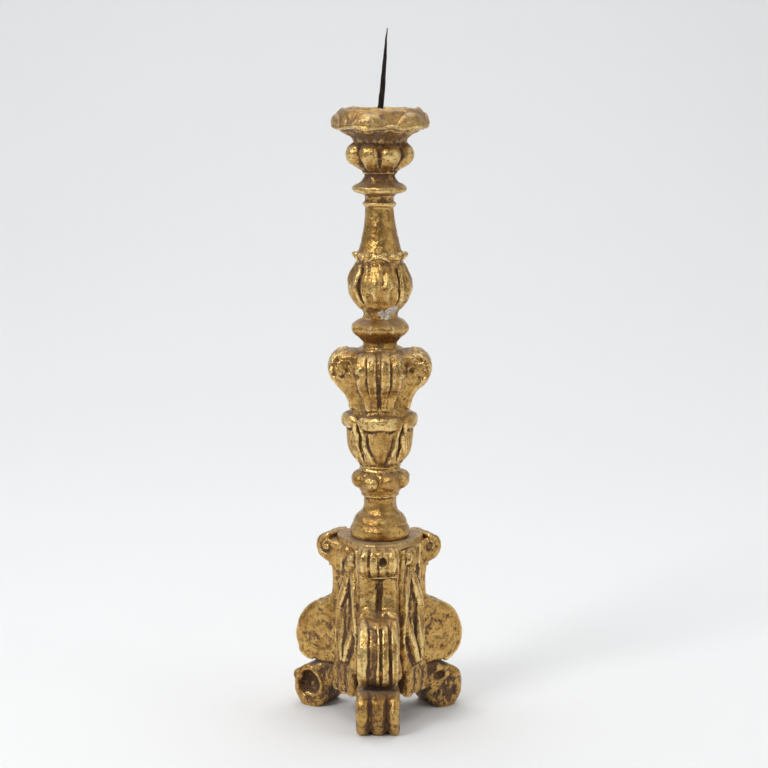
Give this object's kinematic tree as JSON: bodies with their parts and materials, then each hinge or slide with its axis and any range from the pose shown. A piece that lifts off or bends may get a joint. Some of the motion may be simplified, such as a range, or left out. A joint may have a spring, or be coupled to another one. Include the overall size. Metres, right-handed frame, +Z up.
{
  "type": "altar candlestick",
  "caption": "Carved and gilt wooden altar candlestick: petalled drip pan with an iron pricket, leafy turned stem, tripod base of scrolled legs and feet.",
  "frame": {"origin": "the point on the table under the stem's axis, midway between the three feet", "axes": "+Z up the stem; one leg points to -Y; the other two stand at 30 and 150 degrees from +X"},
  "size_m": [0.1418, 0.1227, 0.553],
  "materials": {
    "gilt_wood": "water gilt over red-brown clay and gesso, rubbed and dusty",
    "bare_wood": "unfinished, darkened with age",
    "forged_iron": "hammered, black-brown oxide"
  },
  "bodies": {
    "root": {"pricket_spike": "forged_iron", "drip_pan": "gilt_wood", "gadroon_knop": "gilt_wood", "upper_baluster": "gilt_wood", "leaf_capital": "gilt_wood", "lower_vase": "gilt_wood", "stem_foot": "gilt_wood", "base_top_board": "gilt_wood", "leg_front": "gilt_wood", "leg_right": "gilt_wood", "leg_left": "gilt_wood", "foot_front": "gilt_wood", "foot_right": "gilt_wood", "foot_left": "gilt_wood", "leaf_panel_front_left": "gilt_wood", "leaf_panel_front_right": "gilt_wood", "leaf_panel_back": "gilt_wood", "base_core": "bare_wood", "leg_dowels": "bare_wood", "foot_dowels": "bare_wood"}
  },
  "joints": []
}
